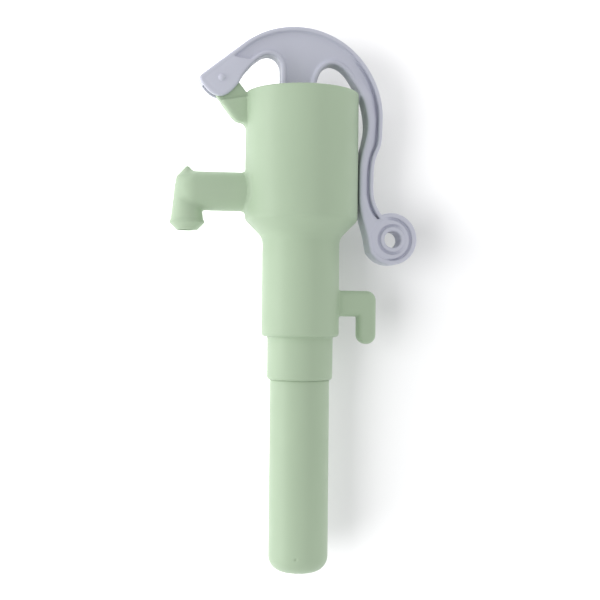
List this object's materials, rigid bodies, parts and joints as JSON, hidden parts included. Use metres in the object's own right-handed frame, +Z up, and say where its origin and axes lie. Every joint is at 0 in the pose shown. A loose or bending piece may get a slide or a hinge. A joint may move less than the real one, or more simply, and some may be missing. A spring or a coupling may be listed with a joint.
{
  "type": "toy lift pump",
  "caption": "Toy hand lift pump with an open-topped casing, side spout, bucket hook, pump barrel and a swan-neck lever that raises a valved piston.",
  "frame": {"origin": "middle of the barrel's flat foot, on the pump's axis", "axes": "+Z up along the pump's axis towards the lever, the spout points to -X, the grip and the hook are at +X, XZ is the symmetry plane"},
  "size_m": [0.1928, 0.088, 0.4213],
  "materials": {
    "green_plastic": "satin injection-moulded polypropylene",
    "lilac_plastic": "satin injection-moulded polypropylene",
    "white_plastic": "plain moulded",
    "rubber": "moulded",
    "steel": "plated"
  },
  "bodies": {
    "casing": {"pump_body": "green_plastic", "spout": "green_plastic", "lower_tube": "green_plastic", "tube_gasket": "rubber", "inlet_strainer": "white_plastic", "foot_valve_seat": "white_plastic", "foot_valve_seal": "rubber", "foot_valve_cage": "white_plastic", "rod_guide": "white_plastic"},
    "lever": {"handle": "lilac_plastic", "pivot_pin": "lilac_plastic", "pivot_cap": "lilac_plastic", "link_pin": "lilac_plastic", "link_cap": "lilac_plastic"},
    "piston_set": {"piston_rod": "white_plastic", "piston": "white_plastic", "piston_seal": "rubber", "valve_stop": "white_plastic", "piston_screw": "steel"},
    "piston_flap": {"piston_valve": "rubber"},
    "foot_ball": {"foot_valve_ball": "rubber"}
  },
  "joints": [
    {"name": "lever_pivot", "type": "hinge", "parent": "casing", "child": "lever", "pos_m": [-0.0636, 0, 0.3789], "axis": [0, -1, 0], "range_deg": [0, 54]},
    {"name": "piston_lift", "type": "slide", "parent": "casing", "child": "piston_set", "axis": [0, 0, 1], "range_m": [0, 0.0649]},
    {"name": "flap_lift", "type": "slide", "parent": "piston_set", "child": "piston_flap", "axis": [0, 0, 1], "range_m": [0, 0.0028]},
    {"name": "foot_ball_lift", "type": "slide", "parent": "casing", "child": "foot_ball", "axis": [0, 0, 1], "range_m": [0, 0.006]}
  ],
  "couplings": [
    {"joint": "piston_lift", "follows": "lever_pivot", "m_per_rad": 0.06879}
  ]
}
